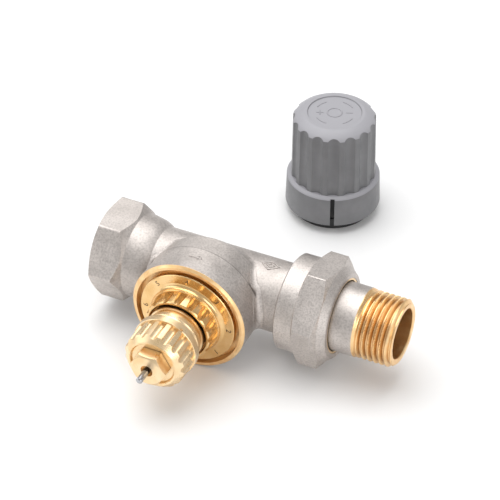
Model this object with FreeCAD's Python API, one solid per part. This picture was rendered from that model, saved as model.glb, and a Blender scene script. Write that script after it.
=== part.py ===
import FreeCAD, Part
import math
import os

# Straight thermostatic radiator valve, DN 15, with its manual cap standing beside it.
# Millimetres.  Origin: where the pipe axis meets the spindle axis.
# +X runs along the pipe to the outlet, -Y along the spindle to the pin, +Z is up.
# s is the distance from the pipe axis along -Y, h the height above the resting surface.

# --- pipe line of the body -------------------------------------------------------
INLET_REACH = 36.3            # inlet face to spindle axis
OVERALL_LENGTH = 96.5         # inlet face to outlet face
TUBE_R = 10.8                 # outer radius of the forged tube
INLET_WALL = 4.18             # thread crest to a flat of the inlet hexagon
INLET_HEX_LENGTH = 7.9
INLET_BAND_DROP = 0.5         # round band behind the hexagon, below the flats
HEX_EDGE_R = 0.9              # rounding of forged hexagon edges
PITCH = 25.4 / 14             # pipe thread, 14 turns to the inch
THREAD_CREST = 0.36           # width of a thread crest
INLET_THREAD_R = 9.32         # crest radius of the female thread
INLET_THREAD_DEPTH = 15.9
THREAD_HEIGHT = 1.16

# --- water way -------------------------------------------------------------------
INLET_WAY_R = 5.8
INLET_WAY_SHIFT = 3.4         # the inlet passage runs behind the pipe axis
WAY_PAST_SEAT = 1.0           # inlet passage runs on past the seat hole
OUTLET_WAY_R = 6.6
OUTLET_WAY_SHIFT = 2.6        # the outlet passage runs in front of it
WAY_WALL = 1.6                # wall between the ends of the two passages
OUTLET_BORE_R = 8.2
OUTLET_BORE_START = 20.0
SEAT_HOLE_R = 5.0
SEAT_RING_T = 1.4             # width of the pressed seat ring
SEAT_RING_FLOOR = 0.3         # metal left under the seat ring
SEAT_DECK_T = 1.2             # deck between the inlet passage and the chamber
SEAT_LIP = 0.6                # seat ring stands proud of the floor

# --- boss that holds the insert --------------------------------------------------
BOSS_R = 18.3
BOSS_STEP_S = 9.6
BOSS_STEP = 0.6
BOSS_REAR_S = 2.3
BOSS_REAR_DROP = 1.6
BOSS_ROOT_S = -5.0
BOSS_DRAFT = 0.25
RIM_T = 1.5
RIM_GROOVE = 1.5              # open groove between rim and setting ring
RIM_HEIGHT = 3.05             # rim above the recess for the setting ring
RIM_CHAMFER = 0.7

# --- bonnet, fixed in the boss ---------------------------------------------------
BONNET_FLANGE_T = 1.3
BONNET_FLANGE_LEDGE = 1.45
BONNET_THREAD_LENGTH = 5.5
BONNET_DROP = 0.15            # bonnet above the retaining clip
O_RING_SECTION = 1.3

# --- neck insert, turns with the setting ring ------------------------------------
NECK_R = 8.5
NECK_SPIGOT = 0.8             # spigot that carries the throttle cylinder
STOP_GAP = 0.2                # plug to spindle guide when fully open
NECK_GUIDE_T = 2.4
NECK_FLAT_DEPTH = 0.6         # depth of the two driving flats
SPRING_CHAMBER_R = 4.0
SPINDLE_END_ROOM = 1.0
PACKING_FLOOR_T = 3.0
PACKING_LENGTH = 4.0
PACKING_R = 3.0
GLAND_SHANK = 4.7
GLAND_THREAD_R = 4.0
NECK_WAIST = 5.3              # setting ring to head collar
COLLAR_LENGTH = 10.9
COLLAR_R = 10.0
COLLAR_BAND = 2.7             # plain band behind the flutes
COLLAR_FLUTE_STEP = 0.4       # plain band stands proud of the flutes
COLLAR_FACE_DROP = 2.0
COLLAR_CONE = 1.8
COLLAR_LAND = 1.0             # width of the front face round the recess
COLLAR_RECESS_DEPTH = 0.9
COLLAR_FLUTES = 16
COLLAR_FLUTE_DEPTH = 0.8
COLLAR_FLUTE_CUTTER_R = 1.3
NOTCH_WIDTH = 0.9
NOTCH_ANGLE = 33.0
CLIP_OFFSET = 0.35            # clip groove above the spindle guide's underside
CLIP_T = 0.8
CLIP_REACH = 1.7              # clip stands proud of the neck
CLIP_GROOVE_DEPTH = 0.8
CLIP_GAP_ANGLE = 50.0

# --- setting ring ----------------------------------------------------------------
RING_MOUTH_GAP = 0.7          # front cavity of the ring round the neck
RING_DISC_T = 1.8
RING_WALL = 1.9               # front cavity to the lip
RING_LIP_RISE = 1.4
RING_LENGTH = 8.4
RING_TAPER = 0.7
RING_HUB_LENGTH = 3.9
RING_FLUTES = 16
RING_FLUTE_DEPTH = 0.75
RING_FLUTE_CUTTER_R = 1.7
RING_LIFT = 1.8               # the ring is raised this far before it is turned

# --- throttle cylinder -----------------------------------------------------------
SPIGOT_WALL = 0.85
CYLINDER_WALL = 1.0
PORT_SILL = 0.7               # wall under the port
PORT_LOW = 0.7                # height of the port at setting 1
PORT_HIGH = 3.9               # height of the port when fully open
PORT_STEPS = 7
PORT_STEP_ANGLE = 45.0

# --- spindle, plug and pin -------------------------------------------------------
TRAVEL = 2.2
SPINDLE_R = 1.6
PIN_R = 1.0
PIN_REACH = 5.0               # pin beyond the gland nut when fully open
PIN_SOCKET = 1.5
PIN_CHAMFER = 0.35
SEAL_OVERLAP = 0.2            # seal wider than the seat ring
SEAL_T = 2.0
HOLDER_WALL = 0.6
HOLDER_T = 1.5
HOLDER_LIP = 1.2
RIVET_HEAD_R = 2.6
RIVET_HEAD_T = 0.8
RETAINER_R = 3.6
RETAINER_DROP = 6.8           # retainer below the spindle's end
RETAINER_T = 1.2
SPRING_R = 2.9                # to the middle of the wire
SPRING_WIRE_R = 0.4
SPRING_TURNS = 6

# --- gland -----------------------------------------------------------------------
GLAND_HEX_AF = 10.0
GLAND_HEX_LENGTH = 4.0
GLAND_HEX_TURN = 0.0          # a flat faces up
GLAND_FACE_R = 4.85
GLAND_MOUTH_R = 1.9
GLAND_MOUTH_DEPTH = 2.0
GLAND_WASHER_T = 0.8
GLAND_BUSH_T = 1.5

# --- union nut, slip ring and tail -----------------------------------------------
UNION_STEP = 2.6              # union thread above the tail pipe
UNION_THREAD_LENGTH = 10.0
UNION_FACE = 36.5
NUT_LENGTH = 16.2
NUT_FLANGE_WALL = 1.5
NUT_FLANGE_LENGTH = 5.9
NUT_FLAT_WALL = 1.8
NUT_CONE = 2.5                # turned cone in front of the hexagon
NUT_HEX_TURN = -11.6          # where the hexagon came to rest, degrees
NUT_FRONT_STEP = 0.1
NUT_WALL_T = 2.2
SLIP_GAP = 0.35               # slip ring round the tail pipe
SLIP_FLANGE_T = 1.1
SLIP_SLEEVE_T = 0.6
TAIL_PIPE_R = 10.6
TAIL_WALL = 2.85
TAIL_COLLAR_GAP = 0.6
TAIL_COLLAR_T = 1.0
TAIL_NOSE_WALL = 2.04         # thread root of the body to the nose of the tail
TAIL_NOSE = 3.6
TAIL_THREAD_LENGTH = 12.2
TAIL_THREAD_STEP = 0.2        # thread crest below the pipe
TAIL_BEVEL = 1.1

# --- cap -------------------------------------------------------------------------
CAP_X = 7.7
CAP_Y = 68.5
CAP_TURN = 23.0               # the slit looks this far from -Y towards +X
CAP_SKIRT_GAP = 1.2           # bush foot to the inside of the skirt
CAP_SKIRT_BOTTOM_H = 3.2
CAP_SKIRT_HEIGHT = 10.3
CAP_SKIRT_DRAFT = 0.3
CAP_SHOULDER_RISE = 0.5
CAP_SHOULDER = 1.65           # skirt to the foot of the grip
CAP_GRIP_DRAFT = 0.3
CAP_DOME_RISE = 2.3
CAP_TOP_H = 37.0
CAP_DOME_WIDTH = 3.55
CAP_TOP_RIM = 1.0
CAP_TOP_WELL_DEPTH = 0.35
CAP_FLUTES = 16
CAP_FLUTE_DEPTH = 0.8
CAP_FLUTE_CUTTER_R = 2.8
CAP_SLIT_WIDTH = 1.3
CAP_SKIRT_WALL = 1.5
CAP_ROOF_T = 2.4
BUSH_THREAD_STEP = 2.1
BUSH_FOOT_STEP = 0.5
BUSH_FOOT_H = 4.0
BUSH_WALL = 1.75
BUSH_SHOULDER_H = 12.2        # where the clamp part ends and the thread begins
BUSH_TOP_H = 23.0
HEAD_GAP = 0.15               # bush round the head collar, radial
BUSH_BORE_DEPTH = 12.6
BUSH_THROAT_R = 7.0
SNAP_H = 1.6
SNAP_T = 1.0
SNAP_GROOVE_DEPTH = 0.9
SNAP_GAP_ANGLE = 40.0
PUSHER_ROD_R = 2.6
PUSHER_TIP_H = 19.4
PUSHER_PLATE_GAP = 0.8
PUSHER_PLATE_T = 1.6
CAP_RETAINER_T = 1.2
CAP_RETAINER_HOLE_R = 5.0

# --- clearances ------------------------------------------------------------------
RUNNING = 0.05                # radial, between pieces that turn or slide in each other
THREAD_GAP = 0.1              # radial, between the crests of mating threads
END_GAP = 0.1                 # between faces that stop just short of each other
FREE_GAP = 0.3                # between pieces that must never touch

# --- derived places --------------------------------------------------------------
FLOOR_Z = -BOSS_R
OUTLET_FACE = OVERALL_LENGTH - INLET_REACH
INLET_HEX_AF = 2 * (INLET_THREAD_R + INLET_WALL)
INLET_BAND_R = INLET_HEX_AF / 2 - INLET_BAND_DROP
INLET_WAY_END = SEAT_HOLE_R + WAY_PAST_SEAT
OUTLET_WAY_START = INLET_WAY_END + WAY_WALL
SEAT_RING_R = SEAT_HOLE_R + SEAT_RING_T
SEAL_R = SEAT_RING_R + SEAL_OVERLAP
HOLDER_R = SEAL_R + HOLDER_WALL
SPIGOT_R = HOLDER_R + FREE_GAP + SPIGOT_WALL
CYLINDER_R = SPIGOT_R + RUNNING + CYLINDER_WALL
CHAMBER_R = CYLINDER_R + END_GAP
CLIP_R = NECK_R + CLIP_REACH
CLIP_GROOVE_R = NECK_R - CLIP_GROOVE_DEPTH
CLIP_CHAMBER_R = CLIP_R + FREE_GAP
NECK_FLAT = NECK_R - NECK_FLAT_DEPTH
BOSS_REAR_R = BOSS_R - BOSS_REAR_DROP
RIM_INNER_R = BOSS_R - RIM_T
RING_DISC_R = RIM_INNER_R - RIM_GROOVE
RING_MOUTH_R = NECK_R + RING_MOUTH_GAP
RING_LIP_R = RING_MOUTH_R + RING_WALL
RING_FRONT_R = RING_LIP_R - RING_TAPER
BONNET_FLANGE_R = RING_DISC_R - FREE_GAP
BONNET_THREAD_R = BONNET_FLANGE_R - BONNET_FLANGE_LEDGE
BONNET_STEP_R = BONNET_THREAD_R - O_RING_SECTION
COLLAR_FLUTED_R = COLLAR_R - COLLAR_FLUTE_STEP
COLLAR_FACE_R = COLLAR_R - COLLAR_FACE_DROP
COLLAR_RECESS_R = COLLAR_FACE_R - COLLAR_LAND
SEAT_DECK_S = INLET_WAY_R - INLET_WAY_SHIFT + SEAT_DECK_T
SEAT_TOP_S = SEAT_DECK_S + SEAT_LIP
SEAL_FACE_S = SEAT_TOP_S + END_GAP + TRAVEL
HOLDER_BOTTOM_S = SEAL_FACE_S + SEAL_T
HOLDER_TOP_S = HOLDER_BOTTOM_S + HOLDER_T
NECK_WALL_S = HOLDER_TOP_S + STOP_GAP
NECK_BOTTOM_S = NECK_WALL_S - NECK_SPIGOT
CYLINDER_BOTTOM_S = SEAT_DECK_S + FREE_GAP
PORT_BOTTOM_S = CYLINDER_BOTTOM_S + PORT_SILL
CLIP_S = NECK_WALL_S + CLIP_OFFSET
BONNET_BOTTOM_S = CLIP_S + CLIP_T + BONNET_DROP
RECESS_S = BONNET_BOTTOM_S + BONNET_THREAD_LENGTH
BOSS_FRONT_S = RECESS_S + RIM_HEIGHT
RING_REAR_S = RECESS_S + BONNET_FLANGE_T + FREE_GAP
RING_DISC_FRONT_S = RING_REAR_S + RING_DISC_T
RING_LIP_S = RING_DISC_FRONT_S + RING_LIP_RISE
RING_HUB_TOP_S = RING_REAR_S + RING_HUB_LENGTH
RING_FRONT_S = RING_REAR_S + RING_LENGTH
COLLAR_BACK_S = RING_FRONT_S + NECK_WAIST
COLLAR_FRONT_S = COLLAR_BACK_S + COLLAR_LENGTH
GLAND_HEX_BACK_S = COLLAR_FRONT_S - COLLAR_RECESS_DEPTH + END_GAP
GLAND_HEX_FRONT_S = GLAND_HEX_BACK_S + GLAND_HEX_LENGTH
GLAND_THREAD_S = GLAND_HEX_BACK_S - GLAND_SHANK
PACKING_S = GLAND_THREAD_S - PACKING_LENGTH
SPRING_CHAMBER_TOP_S = PACKING_S - PACKING_FLOOR_T
SPINDLE_TOP_S = SPRING_CHAMBER_TOP_S - SPINDLE_END_ROOM
RETAINER_S = SPINDLE_TOP_S - RETAINER_DROP
SPRING_BOTTOM_S = NECK_WALL_S + NECK_GUIDE_T
PIN_TIP_S = GLAND_HEX_FRONT_S + PIN_REACH
GLAND_O_RING_S = PACKING_S + GLAND_BUSH_T
GLAND_WASHER_S = GLAND_THREAD_S - GLAND_WASHER_T
NECK_GROOVE_R = NECK_R - O_RING_SECTION
NECK_O_RING_S = (BONNET_BOTTOM_S + RECESS_S + BONNET_FLANGE_T) / 2
UNION_THREAD_R = TAIL_PIPE_R + UNION_STEP
UNION_START = UNION_FACE - UNION_THREAD_LENGTH
NUT_FLANGE_R = UNION_THREAD_R + NUT_FLANGE_WALL
NUT_HEX_AF = 2 * (UNION_THREAD_R + NUT_FLAT_WALL)
NUT_FRONT_R = UNION_THREAD_R + NUT_FRONT_STEP
NUT_HOLE_R = TAIL_PIPE_R + SLIP_GAP + SLIP_SLEEVE_T + RUNNING
TAIL_BORE_R = TAIL_PIPE_R - TAIL_WALL
TAIL_COLLAR_R = UNION_THREAD_R - TAIL_COLLAR_GAP
TAIL_NOSE_R = UNION_THREAD_R - THREAD_HEIGHT - TAIL_NOSE_WALL
TAIL_THREAD_R = TAIL_PIPE_R - TAIL_THREAD_STEP
TAIL_SHOULDER = UNION_FACE + END_GAP
SLIP_BACK = TAIL_SHOULDER + TAIL_COLLAR_T + RUNNING
NUT_SHOULDER = SLIP_BACK + SLIP_FLANGE_T + RUNNING
NUT_FRONT = NUT_SHOULDER + NUT_WALL_T
NUT_BACK = NUT_FRONT - NUT_LENGTH
TAIL_GROOVE_R = TAIL_NOSE_R - O_RING_SECTION
TAIL_O_RING_X = UNION_FACE - TAIL_NOSE / 2
TAIL_THREAD_START = OUTLET_FACE - TAIL_THREAD_LENGTH
BUSH_BORE_R = COLLAR_R + HEAD_GAP
BUSH_R = BUSH_BORE_R + BUSH_WALL
BUSH_FOOT_R = BUSH_R + BUSH_FOOT_STEP
CAP_THREAD_R = BUSH_R - BUSH_THREAD_STEP
CAP_SKIRT_R = BUSH_FOOT_R + CAP_SKIRT_GAP + CAP_SKIRT_WALL
CAP_SKIRT_TOP_R = CAP_SKIRT_R - CAP_SKIRT_DRAFT
CAP_GRIP_R = CAP_SKIRT_R - CAP_SHOULDER
CAP_GRIP_TOP_R = CAP_GRIP_R - CAP_GRIP_DRAFT
CAP_TOP_DISC_R = CAP_GRIP_TOP_R - CAP_DOME_WIDTH
CAP_TOP_WELL_R = CAP_TOP_DISC_R - CAP_TOP_RIM
PUSHER_PLATE_R = CAP_THREAD_R - PUSHER_PLATE_GAP
CAP_SKIRT_TOP_H = CAP_SKIRT_BOTTOM_H + CAP_SKIRT_HEIGHT
CAP_GRIP_TOP_H = CAP_TOP_H - CAP_DOME_RISE
CAP_ROOF_H = CAP_TOP_H - CAP_ROOF_T
CAP_RETAINER_H = CAP_ROOF_H - PUSHER_PLATE_T - 2 * END_GAP - CAP_RETAINER_T


def vec(x, y, z):
    return FreeCAD.Vector(x, y, z)


PIPE = vec(1, 0, 0)
SPINDLE = vec(0, -1, 0)
UP = vec(0, 0, 1)
ORIGIN = vec(0, 0, 0)
CAP_BASE = vec(CAP_X, CAP_Y, FLOOR_Z)


# --- turned shapes: each point is (place along the axis, radius) ------------------
def outline(points, place):
    """Closed wire; a point written (a, r, mid_a, mid_r) is reached along an arc."""
    edges = []
    previous = points[-1]
    for point in points:
        start = place(previous[0], previous[1])
        end = place(point[0], point[1])
        if len(point) == 4:
            edges.append(Part.Arc(start, place(point[2], point[3]), end).toShape())
        else:
            edges.append(Part.LineSegment(start, end).toShape())
        previous = point
    return Part.Wire(edges)


def turned(points, place, base, axis):
    return Part.Face(outline(points, place)).revolve(base, axis, 360)


def turned_on_pipe(points):
    return turned(points, lambda x, r: vec(x, 0, r), ORIGIN, PIPE)


def turned_on_spindle(points):
    return turned(points, lambda s, r: vec(r, -s, 0), ORIGIN, SPINDLE)


def turned_on_cap(points):
    return turned(points, lambda h, r: CAP_BASE + vec(r, 0, h), CAP_BASE, UP)


def rod_on_pipe(radius, start, end, shift_s=0.0):
    return Part.makeCylinder(radius, end - start, vec(start, -shift_s, 0), PIPE)


def rod_on_spindle(radius, start_s, end_s):
    return Part.makeCylinder(radius, end_s - start_s, SPINDLE * start_s, SPINDLE)


def rod_on_cap(radius, start_h, end_h):
    return Part.makeCylinder(radius, end_h - start_h, CAP_BASE + UP * start_h, UP)


def cut_all(shape, cutters):
    for cutter in cutters:
        shape = shape.cut(cutter)
    return shape


def hexagon(across_flats, length, edge_r):
    """Hexagonal bar along +Z from the origin, with two flats facing +-X."""
    corner_r = across_flats / math.sqrt(3)
    corners = [
        vec(corner_r * math.cos(angle), corner_r * math.sin(angle), 0)
        for angle in (math.radians(30 + 60 * step) for step in range(7))
    ]
    bar = Part.Face(Part.makePolygon(corners)).extrude(UP * length)
    long_edges = [e for e in bar.Edges if abs(e.tangentAt(e.FirstParameter).z) > 0.99]
    return bar.makeFillet(edge_r, long_edges)


def placed_hexagon(across_flats, start, length, axis, turn, edge_r):
    """The bar moved so that it starts at axis * start; turn 0 puts a flat upwards."""
    bar = hexagon(across_flats, length, edge_r)
    flat_up = FreeCAD.Rotation(UP.cross(axis), UP, axis, "ZXY")
    bar.Placement = FreeCAD.Placement(axis * start, flat_up)
    bar.rotate(ORIGIN, axis, 90 + turn)
    return bar


def thread_grooves(first, count, crest_r, outward):
    """Ring grooves between flat crests; outward is +1 in a hole and -1 on a shaft."""
    grooves = []
    half_flank = (PITCH - THREAD_CREST) / 2
    clear = crest_r - outward * THREAD_HEIGHT / 2
    root = crest_r + outward * THREAD_HEIGHT
    for turn in range(count):
        middle = first + turn * PITCH
        grooves.append(turned_on_pipe([
            (middle - half_flank, clear),
            (middle - half_flank, crest_r),
            (middle - THREAD_CREST / 2, root),
            (middle + THREAD_CREST / 2, root),
            (middle + half_flank, crest_r),
            (middle + half_flank, clear),
        ]))
    return grooves


def flute_cutters(count, radius, depth, cutter_r, base, axis, side, start, length, draft=0.0):
    """Round cutters set evenly about an axis; side is the direction of the first one."""
    cutters = []
    for step in range(count):
        spin = FreeCAD.Rotation(axis, 360.0 * step / count)
        out = spin.multVec(side)
        lean = axis * math.cos(draft) - out * math.sin(draft)
        foot = base + axis * start + out * (radius - depth + cutter_r)
        cutters.append(Part.makeCylinder(cutter_r, length, foot, lean))
    return cutters


def split_ring(ring, base, axis, side, gap_angle, reach, start, length):
    """Cut a sector out of a ring, so that it can spring open."""
    half = math.radians(gap_angle / 2)
    across = axis.cross(side)
    foot = base + axis * start
    far = reach / math.cos(half)
    corners = [
        foot,
        foot + side * (far * math.cos(half)) + across * (far * math.sin(half)),
        foot + side * (far * math.cos(half)) - across * (far * math.sin(half)),
        foot,
    ]
    return ring.cut(Part.Face(Part.makePolygon(corners)).extrude(axis * length))


# --- valve body ------------------------------------------------------------------
def body_pipe():
    hex_end = -INLET_REACH + INLET_HEX_LENGTH
    hex_length = INLET_HEX_LENGTH + 2.6
    corner_r = INLET_HEX_AF / math.sqrt(3)
    bar = placed_hexagon(INLET_HEX_AF, -INLET_REACH, hex_length, PIPE, 0, HEX_EDGE_R)
    envelope = turned_on_pipe([
        (-INLET_REACH, 0),
        (-INLET_REACH, INLET_HEX_AF / 2),
        (-INLET_REACH + 0.9, corner_r),
        (hex_end, corner_r),
        (hex_end + 2.6, INLET_BAND_R, hex_end + 1.0, INLET_BAND_R + 1.4),
        (hex_end + 2.6, 0),
    ])
    round_line = turned_on_pipe([
        (hex_end - 1, 0),
        (hex_end - 1, INLET_BAND_R),
        (hex_end + 2.6, INLET_BAND_R),
        (hex_end + 6.2, INLET_BAND_R - 0.6),
        (hex_end + 10.2, TUBE_R, hex_end + 8.4, TUBE_R + 1.0),
        (UNION_START - 1.0, TUBE_R),
        (UNION_START, UNION_THREAD_R - THREAD_HEIGHT),
        (UNION_FACE, UNION_THREAD_R - THREAD_HEIGHT),
        (UNION_FACE, 0),
    ])
    thread_sleeve = turned_on_pipe([
        (UNION_START, 0),
        (UNION_START + THREAD_HEIGHT, UNION_THREAD_R),
        (UNION_FACE - THREAD_HEIGHT, UNION_THREAD_R),
        (UNION_FACE, UNION_THREAD_R - THREAD_HEIGHT),
        (UNION_FACE, 0),
    ])
    return bar.common(envelope).fuse([round_line, thread_sleeve])


def body_boss():
    step_r = BOSS_R - BOSS_DRAFT
    return turned_on_spindle([
        (BOSS_ROOT_S, 0),
        (BOSS_ROOT_S, TUBE_R - 1.5),
        (BOSS_REAR_S, BOSS_REAR_R, BOSS_REAR_S - 2.6, BOSS_REAR_R - 2.2),
        (BOSS_STEP_S, step_r - BOSS_STEP),
        (BOSS_STEP_S, step_r),
        (BOSS_FRONT_S - RIM_CHAMFER, BOSS_R),
        (BOSS_FRONT_S, BOSS_R - RIM_CHAMFER),
        (BOSS_FRONT_S, 0),
    ])


def body_hollows():
    seat_ring_s = SEAT_DECK_S - SEAT_DECK_T + SEAT_RING_FLOOR
    inlet_end = -INLET_REACH + INLET_THREAD_DEPTH
    return [
        rod_on_pipe(INLET_THREAD_R, -INLET_REACH, inlet_end),
        turned_on_pipe([
            (-INLET_REACH, 0),
            (-INLET_REACH, INLET_THREAD_R + 1.3),
            (-INLET_REACH + 1.3, INLET_THREAD_R),
            (-INLET_REACH + 1.3, 0),
        ]),
        rod_on_pipe(INLET_WAY_R, inlet_end, INLET_WAY_END, -INLET_WAY_SHIFT),
        rod_on_spindle(SEAT_HOLE_R, -INLET_WAY_SHIFT, SEAT_DECK_S),
        rod_on_spindle(SEAT_RING_R, seat_ring_s, SEAT_DECK_S),
        rod_on_spindle(CHAMBER_R, SEAT_DECK_S, NECK_WALL_S),
        rod_on_spindle(CLIP_CHAMBER_R, NECK_WALL_S, BONNET_BOTTOM_S),
        rod_on_spindle(BONNET_THREAD_R, BONNET_BOTTOM_S, RECESS_S),
        rod_on_spindle(RIM_INNER_R, RECESS_S, BOSS_FRONT_S),
        rod_on_pipe(OUTLET_WAY_R, OUTLET_WAY_START, OUTLET_BORE_START, OUTLET_WAY_SHIFT),
        rod_on_pipe(OUTLET_BORE_R, OUTLET_BORE_START, UNION_FACE),
        rod_on_pipe(TAIL_NOSE_R + RUNNING, UNION_FACE - TAIL_NOSE, UNION_FACE),
    ]


def valve_body():
    body = body_pipe().fuse(body_boss())
    inlet_turns = int(INLET_THREAD_DEPTH / PITCH) - 1
    union_turns = int((UNION_THREAD_LENGTH - 2 * THREAD_HEIGHT) / PITCH)
    cutters = body_hollows()
    cutters += thread_grooves(-INLET_REACH + PITCH * 1.4, inlet_turns, INLET_THREAD_R, 1)
    cutters += thread_grooves(
        UNION_START + THREAD_HEIGHT + PITCH / 2, union_turns, UNION_THREAD_R, -1)
    return cut_all(body, cutters).removeSplitter()


def seat_ring():
    bottom = SEAT_DECK_S - SEAT_DECK_T + SEAT_RING_FLOOR
    return turned_on_spindle([
        (bottom, SEAT_HOLE_R),
        (bottom, SEAT_RING_R),
        (SEAT_DECK_S, SEAT_RING_R),
        (SEAT_TOP_S, SEAT_RING_R - 0.5),
        (SEAT_TOP_S, SEAT_HOLE_R + 0.4),
        (SEAT_TOP_S - 0.4, SEAT_HOLE_R),
    ])


# --- bonnet ----------------------------------------------------------------------
def bonnet():
    thread_r = BONNET_THREAD_R - RUNNING
    step_s = BONNET_BOTTOM_S + O_RING_SECTION + 2 * RUNNING
    bore = NECK_R + RUNNING
    return turned_on_spindle([
        (BONNET_BOTTOM_S, bore),
        (BONNET_BOTTOM_S, BONNET_STEP_R),
        (step_s, BONNET_STEP_R),
        (step_s, thread_r),
        (RECESS_S, thread_r),
        (RECESS_S, BONNET_FLANGE_R),
        (RECESS_S + BONNET_FLANGE_T - 0.3, BONNET_FLANGE_R),
        (RECESS_S + BONNET_FLANGE_T, BONNET_FLANGE_R - 0.3),
        (RECESS_S + BONNET_FLANGE_T, bore),
    ])


def o_ring(inner_r, outer_r, middle, axis):
    """A ring that just fills the gap between two walls."""
    wire_r = (outer_r - inner_r) / 2 - RUNNING / 2
    return Part.makeTorus((outer_r + inner_r) / 2, wire_r, axis * middle, axis)


def bonnet_o_ring():
    middle = BONNET_BOTTOM_S + O_RING_SECTION / 2 + RUNNING
    return o_ring(BONNET_STEP_R, BONNET_THREAD_R, middle, SPINDLE)


# --- neck insert and what it carries ---------------------------------------------
def neck_blank():
    groove_half = O_RING_SECTION / 2 + RUNNING
    band_front = COLLAR_BACK_S + COLLAR_BAND
    cone_start = COLLAR_FRONT_S - COLLAR_CONE
    recess_floor = COLLAR_FRONT_S - COLLAR_RECESS_DEPTH
    return turned_on_spindle([
        (NECK_BOTTOM_S, HOLDER_R + FREE_GAP),
        (NECK_BOTTOM_S, SPIGOT_R),
        (CLIP_S - 0.2, SPIGOT_R),
        (CLIP_S - 0.2, NECK_R),
        (CLIP_S, NECK_R),
        (CLIP_S, CLIP_GROOVE_R),
        (CLIP_S + CLIP_T, CLIP_GROOVE_R),
        (CLIP_S + CLIP_T, NECK_R),
        (NECK_O_RING_S - groove_half, NECK_R),
        (NECK_O_RING_S - groove_half, NECK_GROOVE_R),
        (NECK_O_RING_S + groove_half, NECK_GROOVE_R),
        (NECK_O_RING_S + groove_half, NECK_R),
        (RING_FRONT_S + 0.2, NECK_R),
        (RING_FRONT_S + 0.4, NECK_R + 0.3),
        (RING_FRONT_S + 1.1, NECK_R + 0.3),
        (RING_FRONT_S + 1.3, NECK_R - 0.5),
        (RING_FRONT_S + 2.1, NECK_R - 0.5),
        (RING_FRONT_S + 2.3, NECK_R + 0.1),
        (RING_FRONT_S + 3.4, NECK_R + 0.1),
        (COLLAR_BACK_S - 0.6, NECK_R - 0.4, COLLAR_BACK_S - 1.2, NECK_R - 0.3),
        (COLLAR_BACK_S, COLLAR_R - 0.4),
        (COLLAR_BACK_S + 0.4, COLLAR_R),
        (band_front - 0.15, COLLAR_R),
        (band_front, COLLAR_R - 0.15),
        (band_front, COLLAR_FLUTED_R),
        (cone_start, COLLAR_FLUTED_R - 0.1),
        (COLLAR_FRONT_S - 0.2, COLLAR_FACE_R),
        (COLLAR_FRONT_S, COLLAR_FACE_R - 0.2),
        (COLLAR_FRONT_S, COLLAR_RECESS_R + 0.2),
        (COLLAR_FRONT_S - 0.2, COLLAR_RECESS_R),
        (recess_floor, COLLAR_RECESS_R - 0.3),
        (recess_floor, GLAND_THREAD_R + THREAD_GAP),
        (GLAND_THREAD_S, GLAND_THREAD_R + THREAD_GAP),
        (GLAND_THREAD_S, PACKING_R),
        (PACKING_S, PACKING_R),
        (PACKING_S, PIN_R + THREAD_GAP),
        (SPRING_CHAMBER_TOP_S, PIN_R + THREAD_GAP),
        (SPRING_CHAMBER_TOP_S, SPRING_CHAMBER_R),
        (SPRING_BOTTOM_S, SPRING_CHAMBER_R),
        (SPRING_BOTTOM_S, SPINDLE_R + RUNNING),
        (NECK_WALL_S, SPINDLE_R + RUNNING),
        (NECK_WALL_S, HOLDER_R + FREE_GAP),
    ])


def driving_flats(half_width):
    """Two slabs that leave the driving flats when they are cut from a round bar."""
    start = RECESS_S + BONNET_FLANGE_T + END_GAP
    length = RING_HUB_TOP_S + RING_LIFT + END_GAP - start
    slabs = []
    for side in (1, -1):
        low = half_width if side > 0 else -half_width - NECK_R
        corner = vec(low, -start - length, -NECK_R)
        slabs.append(Part.makeBox(NECK_R, length, 2 * NECK_R, corner))
    return slabs


def neck_insert():
    insert = cut_all(neck_blank(), driving_flats(NECK_FLAT))
    flutes = flute_cutters(
        COLLAR_FLUTES, COLLAR_FLUTED_R, COLLAR_FLUTE_DEPTH, COLLAR_FLUTE_CUTTER_R,
        ORIGIN, SPINDLE, UP, COLLAR_BACK_S + COLLAR_BAND, COLLAR_FRONT_S - COLLAR_BACK_S)
    notch = Part.makeBox(
        NOTCH_WIDTH, 0.8, 1.0,
        vec(-NOTCH_WIDTH / 2, -COLLAR_BACK_S - COLLAR_BAND, COLLAR_R - 0.5))
    notch.rotate(ORIGIN, vec(0, 1, 0), NOTCH_ANGLE)
    return cut_all(insert, flutes + [notch]).removeSplitter()


def neck_o_ring():
    return o_ring(NECK_GROOVE_R, NECK_R + RUNNING, NECK_O_RING_S, SPINDLE)


def retaining_clip():
    ring = turned_on_spindle([
        (CLIP_S + RUNNING, CLIP_GROOVE_R + RUNNING),
        (CLIP_S + RUNNING, CLIP_R),
        (CLIP_S + CLIP_T - RUNNING, CLIP_R),
        (CLIP_S + CLIP_T - RUNNING, CLIP_GROOVE_R + RUNNING),
    ])
    return split_ring(
        ring, ORIGIN, SPINDLE, vec(-1, 0, 0), CLIP_GAP_ANGLE, 2 * CLIP_R, CLIP_S, CLIP_T)


def port_window():
    """Stepped window whose height grows round the cylinder."""
    steps = []
    for step in range(PORT_STEPS):
        height = PORT_LOW + (PORT_HIGH - PORT_LOW) * step / (PORT_STEPS - 1)
        sector = Part.makeCylinder(
            CYLINDER_R + 1, height, SPINDLE * PORT_BOTTOM_S, SPINDLE, PORT_STEP_ANGLE)
        sector.rotate(ORIGIN, SPINDLE, -PORT_STEP_ANGLE * (step + 0.5))
        steps.append(sector)
    return steps


def preset_cylinder():
    inner_r = CYLINDER_R - CYLINDER_WALL
    sleeve = turned_on_spindle([
        (CYLINDER_BOTTOM_S, inner_r),
        (CYLINDER_BOTTOM_S, CYLINDER_R),
        (NECK_WALL_S - END_GAP, CYLINDER_R),
        (NECK_WALL_S - END_GAP, inner_r),
    ])
    return cut_all(sleeve, port_window())


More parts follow.
